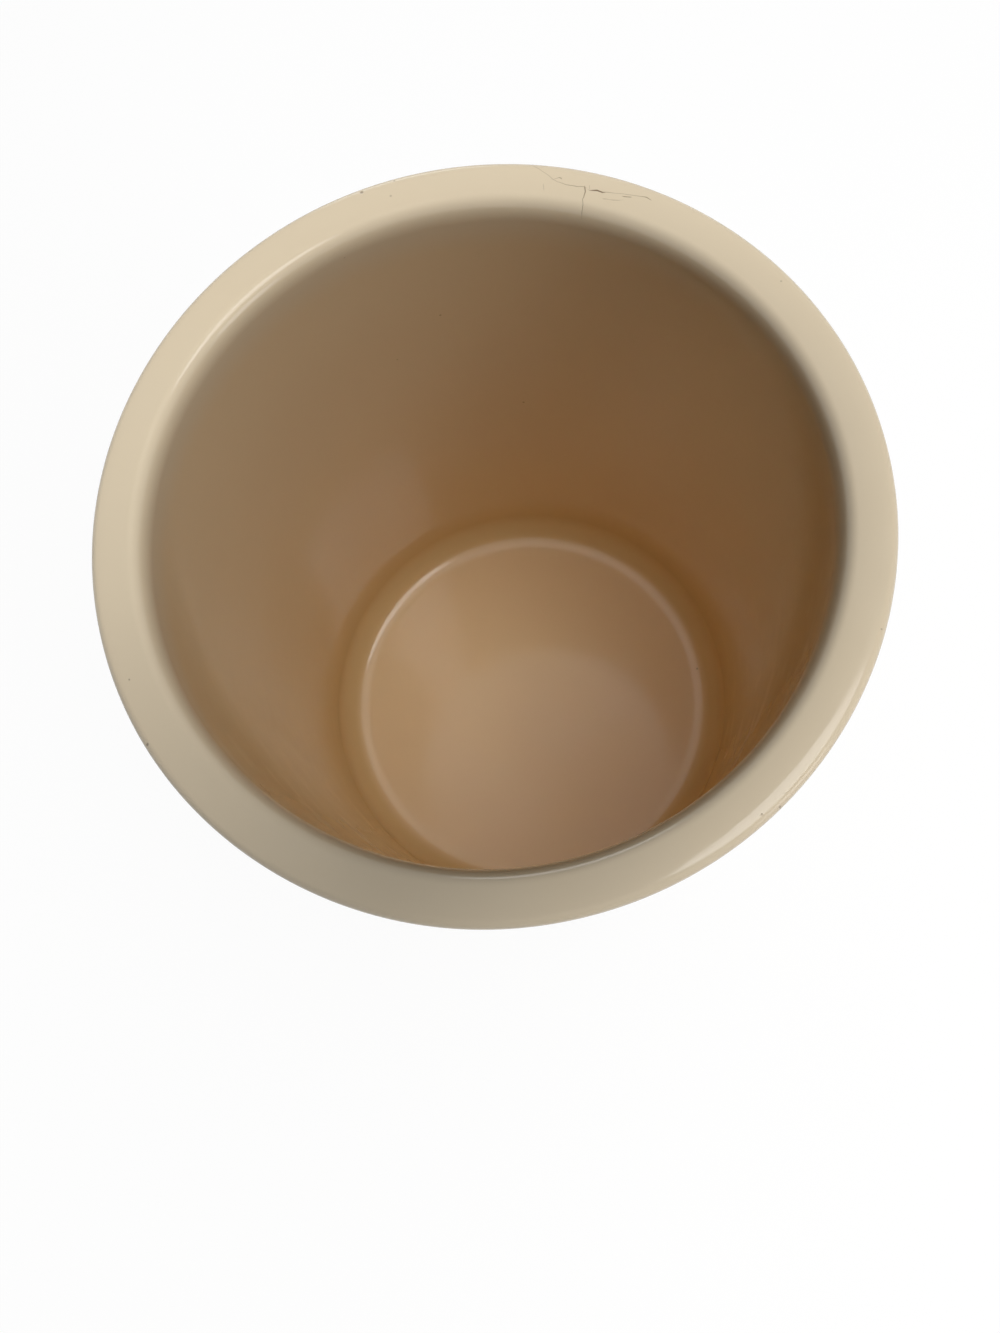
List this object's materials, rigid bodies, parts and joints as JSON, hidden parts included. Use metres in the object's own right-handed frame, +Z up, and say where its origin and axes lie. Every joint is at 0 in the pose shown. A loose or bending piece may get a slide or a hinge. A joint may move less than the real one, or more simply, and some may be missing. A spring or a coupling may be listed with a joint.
{
  "type": "ceramic storage jar",
  "caption": "Open round straight-sided kitchen storage jar in cream glazed ceramic, with a thick rounded rim and a bare foot ring.",
  "frame": {"origin": "middle of the base, on the surface that the jar stands on", "axes": "+Z up along the jar's axis, towards the open mouth; +X and +Y are any two square directions across the round jar"},
  "size_m": [0.12, 0.12, 0.157],
  "materials": {
    "fired_clay": "bare fired clay, matt",
    "cream_glaze": "opaque cream gloss glaze"
  },
  "bodies": {
    "root": {"clay_body": "fired_clay", "glaze_coat": "cream_glaze", "underside_glaze": "cream_glaze"}
  },
  "joints": []
}
